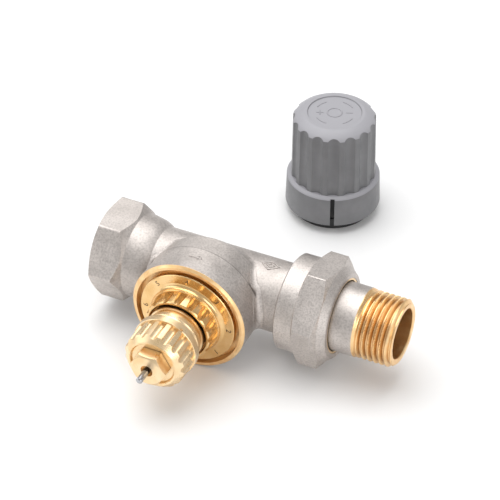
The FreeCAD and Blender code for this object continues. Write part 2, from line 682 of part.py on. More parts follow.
# --- setting ring ----------------------------------------------------------------
def preset_ring():
    blank = turned_on_spindle([
        (RING_REAR_S, NECK_FLAT - 1),
        (RING_REAR_S, RING_DISC_R - 0.2),
        (RING_REAR_S + 0.2, RING_DISC_R),
        (RING_DISC_FRONT_S - 0.2, RING_DISC_R),
        (RING_DISC_FRONT_S, RING_DISC_R - 0.2),
        (RING_DISC_FRONT_S, RING_LIP_R + 1.4),
        (RING_LIP_S, RING_LIP_R, RING_DISC_FRONT_S + 0.4, RING_LIP_R + 0.45),
        (RING_LIP_S + 0.15, RING_LIP_R - 0.15),
        (RING_FRONT_S - 0.4, RING_FRONT_R),
        (RING_FRONT_S, RING_FRONT_R - 0.35),
        (RING_FRONT_S, RING_MOUTH_R + 0.35),
        (RING_FRONT_S - 0.5, RING_MOUTH_R),
        (RING_HUB_TOP_S, RING_MOUTH_R),
        (RING_HUB_TOP_S, NECK_FLAT - 1),
    ])
    hub_hole = rod_on_spindle(NECK_R + RUNNING, RING_REAR_S - 1, RING_HUB_TOP_S)
    hub_hole = cut_all(hub_hole, driving_flats(NECK_FLAT + RUNNING))
    flutes = flute_cutters(
        RING_FLUTES, (RING_LIP_R + RING_FRONT_R) / 2, RING_FLUTE_DEPTH,
        RING_FLUTE_CUTTER_R, ORIGIN, SPINDLE, UP, RING_LIP_S + 0.5,
        RING_FRONT_S - RING_LIP_S)
    return cut_all(blank, [hub_hole] + flutes).removeSplitter()


# --- spindle, plug and pin -------------------------------------------------------
def spindle():
    return turned_on_spindle([
        (HOLDER_TOP_S, 0),
        (HOLDER_TOP_S, SPINDLE_R),
        (SPINDLE_TOP_S - 0.3, SPINDLE_R),
        (SPINDLE_TOP_S, SPINDLE_R - 0.3),
        (SPINDLE_TOP_S, PIN_R + RUNNING / 2),
        (SPINDLE_TOP_S - PIN_SOCKET, PIN_R + RUNNING / 2),
        (SPINDLE_TOP_S - PIN_SOCKET, 0),
    ])


def pressure_pin():
    return turned_on_spindle([
        (SPINDLE_TOP_S - PIN_SOCKET, 0),
        (SPINDLE_TOP_S - PIN_SOCKET, PIN_R),
        (PIN_TIP_S - PIN_CHAMFER, PIN_R),
        (PIN_TIP_S, PIN_R - PIN_CHAMFER),
        (PIN_TIP_S, 0),
    ])


def plug_holder():
    cup_r = SEAL_R + RUNNING / 2
    return turned_on_spindle([
        (HOLDER_BOTTOM_S - HOLDER_LIP, cup_r),
        (HOLDER_BOTTOM_S - HOLDER_LIP, HOLDER_R),
        (HOLDER_TOP_S - 0.3, HOLDER_R),
        (HOLDER_TOP_S, HOLDER_R - 0.3),
        (HOLDER_TOP_S, SPINDLE_R / 2 + RUNNING / 2),
        (HOLDER_BOTTOM_S, SPINDLE_R / 2 + RUNNING / 2),
        (HOLDER_BOTTOM_S, cup_r),
    ])


def plug_seal():
    return turned_on_spindle([
        (SEAL_FACE_S, SPINDLE_R / 2 + RUNNING / 2),
        (SEAL_FACE_S, SEAL_R - 0.3),
        (SEAL_FACE_S + 0.3, SEAL_R),
        (HOLDER_BOTTOM_S, SEAL_R),
        (HOLDER_BOTTOM_S, SPINDLE_R / 2 + RUNNING / 2),
    ])


def plug_rivet():
    return turned_on_spindle([
        (SEAL_FACE_S - RIVET_HEAD_T, 0),
        (SEAL_FACE_S - RIVET_HEAD_T, RIVET_HEAD_R - 0.5),
        (SEAL_FACE_S, RIVET_HEAD_R),
        (SEAL_FACE_S, SPINDLE_R / 2),
        (HOLDER_TOP_S, SPINDLE_R / 2),
        (HOLDER_TOP_S, 0),
    ])


def spring_retainer():
    return turned_on_spindle([
        (RETAINER_S, SPINDLE_R + RUNNING / 2),
        (RETAINER_S, RETAINER_R),
        (RETAINER_S + RETAINER_T, RETAINER_R),
        (RETAINER_S + RETAINER_T, SPINDLE_R + RUNNING / 2),
    ])


def return_spring():
    room = RETAINER_S - SPRING_BOTTOM_S - 2 * (SPRING_WIRE_R + RUNNING)
    helix = Part.makeHelix(room / SPRING_TURNS, room, SPRING_R)
    section = Part.Wire(Part.makeCircle(SPRING_WIRE_R, vec(SPRING_R, 0, 0), vec(0, 1, 0)))
    coil = Part.Wire(helix).makePipeShell([section], True, True)
    coil.rotate(ORIGIN, PIPE, 90)
    coil.translate(SPINDLE * (SPRING_BOTTOM_S + SPRING_WIRE_R + RUNNING))
    return coil


# --- gland -----------------------------------------------------------------------
def gland_nut():
    corner_r = GLAND_HEX_AF / math.sqrt(3)
    pin_hole = PIN_R + RUNNING
    bar = placed_hexagon(
        GLAND_HEX_AF, GLAND_HEX_BACK_S, GLAND_HEX_FRONT_S - GLAND_HEX_BACK_S,
        SPINDLE, GLAND_HEX_TURN, 0.15)
    envelope = turned_on_spindle([
        (GLAND_HEX_BACK_S, 0),
        (GLAND_HEX_BACK_S, corner_r - 0.2),
        (GLAND_HEX_BACK_S + 0.2, corner_r),
        (GLAND_HEX_FRONT_S - 0.7, corner_r),
        (GLAND_HEX_FRONT_S - 0.15, GLAND_FACE_R),
        (GLAND_HEX_FRONT_S, GLAND_FACE_R - 0.2),
        (GLAND_HEX_FRONT_S, 0),
    ])
    shank = rod_on_spindle(GLAND_THREAD_R, GLAND_THREAD_S, GLAND_HEX_BACK_S)
    nut = bar.common(envelope).fuse(shank)
    hole = rod_on_spindle(pin_hole, GLAND_THREAD_S, GLAND_HEX_FRONT_S)
    mouth = rod_on_spindle(
        GLAND_MOUTH_R, GLAND_HEX_FRONT_S - GLAND_MOUTH_DEPTH, GLAND_HEX_FRONT_S)
    return cut_all(nut, [hole, mouth]).removeSplitter()


def pin_sleeve(start_s, end_s):
    """Ring that fills the packing space round the pin."""
    return turned_on_spindle([
        (start_s, PIN_R + RUNNING),
        (start_s, PACKING_R - RUNNING),
        (end_s, PACKING_R - RUNNING),
        (end_s, PIN_R + RUNNING),
    ])


def gland_bush():
    return pin_sleeve(PACKING_S, GLAND_O_RING_S)


def gland_o_ring():
    middle = (GLAND_O_RING_S + GLAND_WASHER_S) / 2
    half = (GLAND_WASHER_S - GLAND_O_RING_S) / 2
    wire_r = min(half, (PACKING_R - PIN_R) / 2) - RUNNING
    return Part.makeTorus((PACKING_R + PIN_R) / 2, wire_r, SPINDLE * middle, SPINDLE)


def gland_washer():
    return pin_sleeve(GLAND_WASHER_S, GLAND_THREAD_S)


# --- union -----------------------------------------------------------------------
def union_nut():
    hex_start = NUT_BACK + NUT_FLANGE_LENGTH
    hex_end = NUT_FRONT - NUT_CONE
    corner_r = NUT_HEX_AF / math.sqrt(3)
    flange = turned_on_pipe([
        (NUT_BACK, 0),
        (NUT_BACK, NUT_FLANGE_R - 0.4),
        (NUT_BACK + 0.4, NUT_FLANGE_R),
        (hex_start + 1.0, NUT_FLANGE_R),
        (hex_start + 1.0, 0),
    ])
    bar = placed_hexagon(
        NUT_HEX_AF, hex_start, NUT_FRONT - hex_start, PIPE, NUT_HEX_TURN, HEX_EDGE_R / 2)
    envelope = turned_on_pipe([
        (hex_start, 0),
        (hex_start, NUT_HEX_AF / 2 - 0.3),
        (hex_start + 1.3, corner_r),
        (hex_end - 1.0, corner_r),
        (hex_end + 0.3, NUT_HEX_AF / 2 - 0.2),
        (NUT_FRONT - 0.3, NUT_FRONT_R),
        (NUT_FRONT, NUT_FRONT_R - 0.3),
        (NUT_FRONT, 0),
    ])
    thread_room = rod_on_pipe(UNION_THREAD_R + THREAD_GAP, NUT_BACK, NUT_SHOULDER)
    hole = rod_on_pipe(NUT_HOLE_R, NUT_SHOULDER, NUT_FRONT)
    nut = flange.fuse(bar.common(envelope))
    return cut_all(nut, [thread_room, hole]).removeSplitter()


def slip_ring():
    sleeve_r = NUT_HOLE_R - RUNNING
    flange_end = NUT_SHOULDER - RUNNING
    return turned_on_pipe([
        (SLIP_BACK, sleeve_r - SLIP_SLEEVE_T),
        (SLIP_BACK, UNION_THREAD_R - FREE_GAP),
        (flange_end, UNION_THREAD_R - FREE_GAP),
        (flange_end, sleeve_r),
        (NUT_FRONT - 0.1, sleeve_r),
        (NUT_FRONT - 0.1, sleeve_r - SLIP_SLEEVE_T),
    ])


def tailpiece():
    nose_start = UNION_FACE - TAIL_NOSE + END_GAP
    groove_half = O_RING_SECTION / 2 + RUNNING
    turns = int(TAIL_THREAD_LENGTH / PITCH)
    last_groove = OUTLET_FACE - 2 * TAIL_BEVEL
    blank = turned_on_pipe([
        (nose_start, TAIL_BORE_R),
        (nose_start, TAIL_NOSE_R - 0.3),
        (nose_start + 0.3, TAIL_NOSE_R),
        (TAIL_O_RING_X - groove_half, TAIL_NOSE_R),
        (TAIL_O_RING_X - groove_half, TAIL_GROOVE_R),
        (TAIL_O_RING_X + groove_half, TAIL_GROOVE_R),
        (TAIL_O_RING_X + groove_half, TAIL_NOSE_R),
        (TAIL_SHOULDER, TAIL_NOSE_R),
        (TAIL_SHOULDER, TAIL_COLLAR_R),
        (TAIL_SHOULDER + TAIL_COLLAR_T, TAIL_COLLAR_R),
        (TAIL_SHOULDER + TAIL_COLLAR_T, TAIL_PIPE_R),
        (TAIL_THREAD_START - 0.2, TAIL_PIPE_R),
        (TAIL_THREAD_START, TAIL_THREAD_R),
        (OUTLET_FACE - TAIL_BEVEL, TAIL_THREAD_R),
        (OUTLET_FACE, TAIL_THREAD_R - TAIL_BEVEL),
        (OUTLET_FACE, TAIL_BORE_R + 0.3),
        (OUTLET_FACE - 0.3, TAIL_BORE_R),
    ])
    grooves = thread_grooves(
        last_groove - (turns - 1) * PITCH, turns, TAIL_THREAD_R, -1)
    return cut_all(blank, grooves).removeSplitter()


def tail_o_ring():
    return o_ring(TAIL_GROOVE_R, TAIL_NOSE_R + RUNNING, TAIL_O_RING_X, PIPE)


# --- cap -------------------------------------------------------------------------
CAP_SIDE = vec(math.sin(math.radians(CAP_TURN)), -math.cos(math.radians(CAP_TURN)), 0)


def cap_shell():
    shoulder_h = CAP_SKIRT_TOP_H + CAP_SHOULDER_RISE
    skirt_in = CAP_SKIRT_R - CAP_SKIRT_WALL
    shell = turned_on_cap([
        (CAP_SKIRT_BOTTOM_H, skirt_in),
        (CAP_SKIRT_BOTTOM_H, CAP_SKIRT_R - 0.6),
        (CAP_SKIRT_BOTTOM_H + 0.8, CAP_SKIRT_R, CAP_SKIRT_BOTTOM_H + 0.2, CAP_SKIRT_R - 0.2),
        (CAP_SKIRT_TOP_H - 0.3, CAP_SKIRT_TOP_R),
        (CAP_SKIRT_TOP_H, CAP_SKIRT_TOP_R - 0.3),
        (shoulder_h, CAP_GRIP_R),
        (CAP_GRIP_TOP_H, CAP_GRIP_TOP_R),
        (CAP_TOP_H, CAP_TOP_DISC_R, CAP_TOP_H - 0.8, (CAP_GRIP_TOP_R + CAP_TOP_DISC_R) / 2),
        (CAP_TOP_H, CAP_TOP_WELL_R),
        (CAP_TOP_H - CAP_TOP_WELL_DEPTH, CAP_TOP_WELL_R - 0.2),
        (CAP_TOP_H - CAP_TOP_WELL_DEPTH, 0),
        (CAP_ROOF_H, 0),
        (CAP_ROOF_H, CAP_THREAD_R + THREAD_GAP),
        (shoulder_h + 0.8, CAP_THREAD_R + THREAD_GAP),
        (shoulder_h - CAP_SKIRT_WALL, skirt_in),
    ])
    grip_height = CAP_GRIP_TOP_H - shoulder_h
    draft = math.atan2(CAP_GRIP_R - CAP_GRIP_TOP_R, grip_height)
    flutes = flute_cutters(
        CAP_FLUTES, CAP_GRIP_R, CAP_FLUTE_DEPTH, CAP_FLUTE_CUTTER_R,
        CAP_BASE, UP, CAP_SIDE, shoulder_h, CAP_TOP_H, draft)
    slit = Part.makeBox(
        2 * CAP_SKIRT_WALL, CAP_SLIT_WIDTH, CAP_SKIRT_TOP_H - CAP_SKIRT_BOTTOM_H,
        vec(CAP_SKIRT_R - CAP_SKIRT_WALL - 0.5, -CAP_SLIT_WIDTH / 2, CAP_SKIRT_BOTTOM_H))
    slit.rotate(ORIGIN, UP, CAP_TURN - 90)
    slit.translate(CAP_BASE)
    return cut_all(shell, flutes + [slit]).removeSplitter()


def cap_bush():
    return turned_on_cap([
        (0, BUSH_BORE_R + 0.5),
        (0, BUSH_FOOT_R - 0.4),
        (0.4, BUSH_FOOT_R),
        (BUSH_FOOT_H, BUSH_FOOT_R),
        (BUSH_FOOT_H, BUSH_R),
        (BUSH_SHOULDER_H, BUSH_R),
        (BUSH_SHOULDER_H + 0.4, CAP_THREAD_R),
        (BUSH_TOP_H - 0.4, CAP_THREAD_R),
        (BUSH_TOP_H, CAP_THREAD_R - 0.4),
        (BUSH_TOP_H, BUSH_THROAT_R),
        (BUSH_BORE_DEPTH, BUSH_THROAT_R),
        (BUSH_BORE_DEPTH, BUSH_BORE_R),
        (SNAP_H + SNAP_T, BUSH_BORE_R),
        (SNAP_H + SNAP_T, BUSH_BORE_R + SNAP_GROOVE_DEPTH),
        (SNAP_H, BUSH_BORE_R + SNAP_GROOVE_DEPTH),
        (SNAP_H, BUSH_BORE_R),
        (0.5, BUSH_BORE_R),
    ])


def cap_snap_ring():
    wire_r = SNAP_T / 2 - RUNNING
    middle = SNAP_H + SNAP_T / 2
    ring = Part.makeTorus(BUSH_BORE_R + wire_r, wire_r, CAP_BASE + UP * middle, UP)
    return split_ring(
        ring, CAP_BASE, UP, CAP_SIDE, SNAP_GAP_ANGLE, 2 * BUSH_BORE_R, SNAP_H, SNAP_T)


def cap_pusher():
    plate_h = CAP_RETAINER_H + CAP_RETAINER_T + END_GAP
    return turned_on_cap([
        (PUSHER_TIP_H, 0),
        (PUSHER_TIP_H, PUSHER_ROD_R - 0.4),
        (PUSHER_TIP_H + 0.4, PUSHER_ROD_R),
        (plate_h, PUSHER_ROD_R),
        (plate_h, PUSHER_PLATE_R),
        (plate_h + PUSHER_PLATE_T, PUSHER_PLATE_R),
        (plate_h + PUSHER_PLATE_T, 0),
    ])


def cap_retainer():
    return turned_on_cap([
        (CAP_RETAINER_H, CAP_RETAINER_HOLE_R),
        (CAP_RETAINER_H, CAP_THREAD_R + THREAD_GAP),
        (CAP_RETAINER_H + CAP_RETAINER_T, CAP_THREAD_R + THREAD_GAP),
        (CAP_RETAINER_H + CAP_RETAINER_T, CAP_RETAINER_HOLE_R),
    ])


PIECES = (
    valve_body, seat_ring, bonnet, bonnet_o_ring, tailpiece, tail_o_ring,
    neck_insert, neck_o_ring, retaining_clip, preset_cylinder, preset_ring,
    gland_nut, gland_washer, gland_o_ring, gland_bush,
    pressure_pin, spindle, plug_holder, plug_seal, plug_rivet, spring_retainer,
    return_spring, union_nut, slip_ring,
    cap_shell, cap_retainer, cap_pusher, cap_bush, cap_snap_ring,
)


def main():
    os.makedirs("parts", exist_ok=True)
    for build in PIECES:
        shape = build()
        solids = shape.Solids
        print(build.__name__, "solids", len(solids), "valid", shape.isValid(),
              "volume %.1f" % shape.Volume)
        solids[0].exportStep("parts/%s.step" % build.__name__)


main()
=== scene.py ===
import math

import bmesh
import bpy
from mathutils import Matrix, Vector
from mathutils.bvhtree import BVHTree


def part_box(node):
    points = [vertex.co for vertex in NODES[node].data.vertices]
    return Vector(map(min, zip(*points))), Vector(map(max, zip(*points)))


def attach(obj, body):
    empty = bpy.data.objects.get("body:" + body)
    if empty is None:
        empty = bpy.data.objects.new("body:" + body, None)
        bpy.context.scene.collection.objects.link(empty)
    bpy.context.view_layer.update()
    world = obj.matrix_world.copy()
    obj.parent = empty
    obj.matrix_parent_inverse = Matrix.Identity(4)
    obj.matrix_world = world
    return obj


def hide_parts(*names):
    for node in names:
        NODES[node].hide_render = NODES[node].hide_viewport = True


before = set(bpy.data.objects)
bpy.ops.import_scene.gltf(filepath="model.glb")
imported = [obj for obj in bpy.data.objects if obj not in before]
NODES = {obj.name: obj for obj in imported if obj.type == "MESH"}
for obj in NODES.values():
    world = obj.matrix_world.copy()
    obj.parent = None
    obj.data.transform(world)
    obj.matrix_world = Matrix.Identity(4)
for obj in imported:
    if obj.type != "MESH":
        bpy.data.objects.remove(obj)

# Thermostatic radiator valve and its manual cap.  Metres, in the CAD frame:
# X along the pipe, -Y along the spindle, Z up, origin where the two axes meet.

bpy.context.view_layer.update()
MM = 0.001

# --- places read from the frame ----------------------------------------------------
BODY_LOW, BODY_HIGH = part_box("valve_body")
RING_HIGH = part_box("preset_ring")[1]
TAIL_LOW, TAIL_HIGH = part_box("tailpiece")
CAP_LOW, CAP_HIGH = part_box("cap_shell")
FLOOR_Z = min(BODY_LOW.z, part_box("cap_bush")[0].z)
CAP_CENTRE = (CAP_LOW + CAP_HIGH) / 2
BOSS_FRONT_Y = BODY_LOW.y


# --- node materials ------------------------------------------------------------------
def srgb(red, green, blue):
    """Linear colour from the 0 to 255 values seen on a screen."""
    def linear(value):
        part = value / 255
        return part / 12.92 if part <= 0.04045 else ((part + 0.055) / 1.055) ** 2.4
    return (linear(red), linear(green), linear(blue), 1.0)


class Look:
    """A node material under construction; each helper returns the socket it makes."""

    def __init__(self, name, metallic=0.0, roughness=0.5):
        self.material = bpy.data.materials.new(name)
        self.material.use_nodes = True
        self.tree = self.material.node_tree
        self.tree.nodes.clear()
        self.shader = self.tree.nodes.new("ShaderNodeBsdfPrincipled")
        self.shader.inputs["Metallic"].default_value = metallic
        self.shader.inputs["Roughness"].default_value = roughness
        output = self.tree.nodes.new("ShaderNodeOutputMaterial")
        self.tree.links.new(self.shader.outputs[0], output.inputs[0])
        self.place = self.tree.nodes.new("ShaderNodeTexCoord").outputs["Object"]

    def fill(self, socket, value):
        if isinstance(value, bpy.types.NodeSocket):
            self.tree.links.new(value, socket)
        else:
            socket.default_value = value

    def set(self, name, value):
        self.fill(self.shader.inputs[name], value)

    def math(self, operation, first, second=0.0, clamp=False):
        node = self.tree.nodes.new("ShaderNodeMath")
        node.operation = operation
        node.use_clamp = clamp
        self.fill(node.inputs[0], first)
        self.fill(node.inputs[1], second)
        return node.outputs[0]

    def remap(self, value, low, high, to_low=0.0, to_high=1.0):
        """value from low to high becomes to_low to to_high, and is held there."""
        node = self.tree.nodes.new("ShaderNodeMapRange")
        for socket, given in zip(node.inputs[:5], (value, low, high, to_low, to_high)):
            self.fill(socket, given)
        return node.outputs[0]

    def split(self):
        node = self.tree.nodes.new("ShaderNodeSeparateXYZ")
        self.fill(node.inputs[0], self.place)
        return node.outputs

    def radius_about(self, axis, centre=(0, 0, 0)):
        """Distance from an axis through centre."""
        shifted = self.tree.nodes.new("ShaderNodeVectorMath")
        shifted.operation = "SUBTRACT"
        self.fill(shifted.inputs[0], self.place)
        shifted.inputs[1].default_value = centre
        flat = self.tree.nodes.new("ShaderNodeVectorMath")
        flat.operation = "MULTIPLY"
        self.fill(flat.inputs[0], shifted.outputs[0])
        flat.inputs[1].default_value = [0.0 if name == axis else 1.0 for name in "xyz"]
        length = self.tree.nodes.new("ShaderNodeVectorMath")
        length.operation = "LENGTH"
        self.fill(length.inputs[0], flat.outputs[0])
        return length.outputs["Value"]

    def ring_place(self, axis, centre=(0, 0, 0), round_share=0.0):
        """Coordinates that make a texture run in rings about an axis."""
        node = self.tree.nodes.new("ShaderNodeCombineXYZ")
        self.fill(node.inputs[0], self.radius_about(axis, centre))
        self.fill(node.inputs[1], self.split()["xyz".index(axis)])
        if round_share:
            across = self.split()["Z" if axis == "x" else "X"]
            self.fill(node.inputs[2], self.math("MULTIPLY", across, round_share))
        return node.outputs[0]

    def noise(self, scale, detail=2.0, roughness=0.5, place=None):
        node = self.tree.nodes.new("ShaderNodeTexNoise")
        self.fill(node.inputs["Vector"], place or self.place)
        node.inputs["Scale"].default_value = scale
        node.inputs["Detail"].default_value = detail
        node.inputs["Roughness"].default_value = roughness
        return node.outputs["Fac"]

    def ramp(self, value, *stops):
        node = self.tree.nodes.new("ShaderNodeValToRGB")
        self.fill(node.inputs[0], value)
        elements = node.color_ramp.elements
        while len(elements) < len(stops):
            elements.new(0.5)
        for element, (position, colour) in zip(elements, stops):
            element.position = position
            element.color = colour
        return node.outputs[0]

    def mix(self, share, first, second):
        node = self.tree.nodes.new("ShaderNodeMix")
        node.data_type = "RGBA"
        self.fill(node.inputs[0], share)
        self.fill(node.inputs[6], first)
        self.fill(node.inputs[7], second)
        return node.outputs[2]

    def bump(self, height, strength, distance, under=None):
        node = self.tree.nodes.new("ShaderNodeBump")
        node.inputs["Strength"].default_value = strength
        node.inputs["Distance"].default_value = distance
        self.fill(node.inputs["Height"], height)
        if under is not None:
            self.fill(node.inputs["Normal"], under)
        return node.outputs[0]

    def soft_edge(self, radius):
        """Normal that rounds the sharp edges of cast and machined pieces."""
        node = self.tree.nodes.new("ShaderNodeBevel")
        node.samples = 4
        node.inputs["Radius"].default_value = radius
        return node.outputs[0]


# Painted shade colours: creases, recesses and the boss shoulder line darken to these.
NICKEL_PAINTED_SHADE = srgb(62, 54, 48)
BRASS_PAINTED_SHADE = srgb(128, 76, 30)


def crevice(look, colour, shade_colour, distance, depth):
    """colour, darkened towards a painted shade colour where other surfaces stand close: painted
    shade in creases and recesses.
    """
    node = look.tree.nodes.new("ShaderNodeAmbientOcclusion")
    node.samples = 8
    node.inputs["Distance"].default_value = distance
    closed = look.remap(node.outputs["AO"], 0.15, 0.75, depth, 0.0)
    return look.mix(closed, colour, shade_colour)


def shades(look, scale, low, middle, high, detail=3.0):
    """Colour that drifts between three close shades."""
    return look.ramp(look.noise(scale, detail), (0.3, low), (0.5, middle), (0.7, high))


NICKEL = (srgb(192, 185, 180), srgb(206, 199, 194), srgb(216, 209, 204))
BRASS = (srgb(238, 206, 158), srgb(245, 216, 172), srgb(249, 224, 185))
GOLDEN_BRASS = (srgb(226, 184, 124), srgb(234, 195, 138), srgb(240, 205, 152))
RAW_BRASS = (srgb(234, 190, 134), srgb(243, 204, 150), srgb(249, 216, 167))


def brass_look(name, axis, roughness, shade=BRASS, line_scale=5200, line_strength=0.25):
    """Turned brass: fine rings about the axis it was turned on."""
    look = Look(name, metallic=1.0)
    rings = look.ring_place(axis, round_share=0.03)
    lines = look.noise(line_scale, 3.0, 0.6, rings)
    smudges = look.noise(170, 4.0, 0.6)
    # The base colour gets painted shade in creases and recesses.
    look.set("Base Color", crevice(look, shades(look, 240, *shade), BRASS_PAINTED_SHADE,
                                   1.2 * MM, 0.45))
    spread = look.math("MULTIPLY", look.remap(smudges, 0.3, 0.7, 0.8, 1.35), roughness)
    look.set("Roughness", look.math("ADD", spread, look.remap(lines, 0.2, 0.8, -0.03, 0.05)))
    look.set("Normal", look.bump(lines, line_strength, 0.03 * MM, look.soft_edge(0.12 * MM)))
    return look.material


def plated_look(name, axis, unplated, grain=1700, grain_depth=0.1, roughness=0.52,
                shade_line_share=None):
    """Nickel plate over blasted brass; unplated(look) is the share left as raw brass, and
    shade_line_share(look) is where a painted shade line runs along the shoulders."""
    look = Look(name, metallic=1.0)
    blasted = look.noise(grain, 3.0, 0.65)
    coarse = look.noise(900, 2.0, 0.5)
    cloudy = look.noise(110, 4.0, 0.6)
    lines = look.noise(5200, 3.0, 0.6, look.ring_place(axis, round_share=0.03))
    bare = unplated(look)
    plate = shades(look, 130, *NICKEL)
    speck = look.remap(blasted, 0.34, 0.58, 0.5, 0.0)
    plate = look.mix(speck, plate, srgb(150, 143, 138))
    raw = shades(look, 300, *RAW_BRASS)
    # Painted shade: a dark line along the shoulders of the boss.
    if shade_line_share:
        plate = look.mix(shade_line_share(look), plate, NICKEL_PAINTED_SHADE)
    # The base colour gets painted shade in creases and recesses, over both plate and bare
    # brass.
    look.set("Base Color", crevice(look, look.mix(bare, plate, raw),
                                   look.mix(bare, NICKEL_PAINTED_SHADE, BRASS_PAINTED_SHADE), 1.6 * MM, 0.6))
    rough = look.math("ADD", look.remap(cloudy, 0.3, 0.7, roughness - 0.05, roughness + 0.07),
                      look.remap(blasted, 0.3, 0.7, -0.05, 0.06))
    look.set("Roughness", look.math("SUBTRACT", rough, look.math("MULTIPLY", bare, 0.16)))
    height = look.math("ADD", look.math("MULTIPLY", blasted, 0.7),
                       look.math("MULTIPLY", coarse, 0.5))
    machined = look.math("MULTIPLY", lines, 0.25)
    surface = look.tree.nodes.new("ShaderNodeMix")
    look.fill(surface.inputs[0], bare)
    look.fill(surface.inputs[2], height)
    look.fill(surface.inputs[3], machined)
    look.set("Normal", look.bump(surface.outputs[0], 0.8, grain_depth * MM,
                                 look.soft_edge(0.14 * MM)))
    return look.material


def plastic_look(name, low, middle, high, roughness, grain=5200, grain_depth=0.012,
                 painted_top_light=None):
    """Moulded plastic; painted_top_light is its colour where it faces up: painted light,
    lighter where light falls from above.
    """
    look = Look(name)
    fine = look.noise(grain, 2.0, 0.5)
    colour = shades(look, 150, low, middle, high)
    # Painted light: faces that look up are lighter, as if lit from above.
    if painted_top_light:
        split = look.tree.nodes.new("ShaderNodeSeparateXYZ")
        look.fill(split.inputs[0],
                  look.tree.nodes.new("ShaderNodeNewGeometry").outputs["Normal"])
        colour = look.mix(look.remap(split.outputs[2], 0.25, 0.8), colour, painted_top_light)
    look.set("Base Color", colour)
    look.set("Roughness", look.remap(look.noise(420, 4.0, 0.6), 0.3, 0.7,
                                     roughness - 0.05, roughness + 0.08))
    look.set("Normal", look.bump(fine, 0.6, grain_depth * MM, look.soft_edge(0.15 * MM)))
    return look.material


def steel_look(name, roughness):
    look = Look(name, metallic=1.0)
    drawn = look.noise(7000, 3.0, 0.6, look.ring_place("y"))
    look.set("Base Color", shades(look, 600, srgb(160, 160, 164), srgb(176, 176, 180),
                                  srgb(196, 196, 199)))
    look.set("Roughness", look.remap(drawn, 0.3, 0.7, roughness - 0.04, roughness + 0.08))
    look.set("Normal", look.bump(drawn, 0.3, 0.02 * MM, look.soft_edge(0.08 * MM)))
    return look.material


BOSS_CHAMFER = 0.75 * MM      # turned chamfer of the boss rim
RIM_WIDTH = 1.5 * MM          # rim of the boss outside its recess
RIM_DEPTH = 3.1 * MM          # depth of the recess in the boss
BOSS_R = BODY_HIGH.z
INLET_FACE_X = BODY_LOW.x
INLET_MOUTH_R = 10.7 * MM
UNION_THREAD_LENGTH = 10.0 * MM
MACHINED_EDGE = 0.03 * MM     # width of the border between plate and bare brass


def bare_on_body(look):
    """Machined faces of the forging: boss rim and recess, inlet thread, union thread."""
    x, y, _ = look.split()
    front = BOSS_FRONT_Y + BOSS_CHAMFER
    rim = look.remap(y, front, front + MACHINED_EDGE, 1.0, 0.0)
    from_spindle = look.radius_about("y")
    wall = BOSS_R - RIM_WIDTH + 0.1 * MM
    in_recess = look.math("MULTIPLY",
                          look.remap(from_spindle, wall, wall + MACHINED_EDGE, 1.0, 0.0),
                          look.remap(y, BOSS_FRONT_Y + RIM_DEPTH, BOSS_FRONT_Y + 2 * RIM_DEPTH,
                                     1.0, 0.0))
    from_pipe = look.radius_about("x")
    in_inlet = look.math("MULTIPLY",
                         look.remap(from_pipe, INLET_MOUTH_R, INLET_MOUTH_R + MACHINED_EDGE,
                                    1.0, 0.0),
                         look.remap(x, INLET_FACE_X / 2, INLET_FACE_X / 2 + MACHINED_EDGE,
                                    1.0, 0.0))
    union_start = BODY_HIGH.x - UNION_THREAD_LENGTH
    on_union = look.remap(x, union_start, union_start + MACHINED_EDGE)
    bare = look.math("MAXIMUM", rim, in_recess)
    bare = look.math("MAXIMUM", bare, in_inlet)
    return look.math("MAXIMUM", bare, on_union)


BOSS_SHOULDER_Y = -9.6 * MM   # shoulder between the front and the rear of the boss
BOSS_REAR_R = BOSS_R - 0.6 * MM
SHADE_LINE_WIDTH = 0.3 * MM      # width of the painted shade line behind the shoulder


def lines_on_body(look):
    """Painted shade: a dark line along the shoulder of the boss."""
    y = look.split()[1]
    before = look.remap(y, BOSS_SHOULDER_Y - SHADE_LINE_WIDTH, BOSS_SHOULDER_Y)
    behind = look.remap(y, BOSS_SHOULDER_Y + SHADE_LINE_WIDTH,
                        BOSS_SHOULDER_Y + 3 * SHADE_LINE_WIDTH, 1.0, 0.0)
    from_spindle = look.radius_about("y")
    on_boss = look.math("MULTIPLY",
                        look.remap(from_spindle, BOSS_REAR_R - 1.5 * MM, BOSS_REAR_R - MM),
                        look.remap(from_spindle, BOSS_R + 0.1 * MM, BOSS_R + 0.2 * MM,
                                   1.0, 0.0))
    uneven = look.remap(look.noise(420, 3.0), 0.3, 0.6, 0.35, 0.7)
    line = look.math("MULTIPLY", look.math("MULTIPLY", before, behind), on_boss)
    return look.math("MULTIPLY", line, uneven)


NUT_LOW, NUT_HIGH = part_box("union_nut")
NUT_THREAD_R = 13.4 * MM
NUT_END_WALL = 2.4 * MM        # wall at the front of the nut that holds the tail
NUT_TO_NOSE = 13.0 * MM        # back of the nut to the front of the tail's machined nose


def bare_in_nut(look):
    """Only the thread inside the nut is bare."""
    x = look.split()[0]
    inside = look.remap(look.radius_about("x"), NUT_THREAD_R, NUT_THREAD_R + MACHINED_EDGE,
                        1.0, 0.0)
    wall_x = NUT_HIGH.x - NUT_END_WALL
    behind = look.remap(x, wall_x, wall_x + 0.1 * MM, 1.0, 0.0)
    return look.math("MULTIPLY", inside, behind)


THREAD_START_X = TAIL_HIGH.x - 12.2 * MM
TAIL_BORE_R = 7.75 * MM


def bare_on_tail(look):
    """Thread, nose and bore of the tail are machined."""
    x = look.split()[0]
    thread = look.remap(x, THREAD_START_X - 0.1 * MM, THREAD_START_X + 0.1 * MM)
    nose_end = NUT_LOW.x + NUT_TO_NOSE
    nose = look.remap(x, nose_end, nose_end + 0.1 * MM, 1.0, 0.0)
    bore = look.remap(look.radius_about("x"), TAIL_BORE_R + 0.5 * MM, TAIL_BORE_R + 0.6 * MM,
                      1.0, 0.0)
    return look.math("MAXIMUM", look.math("MAXIMUM", thread, nose), bore)


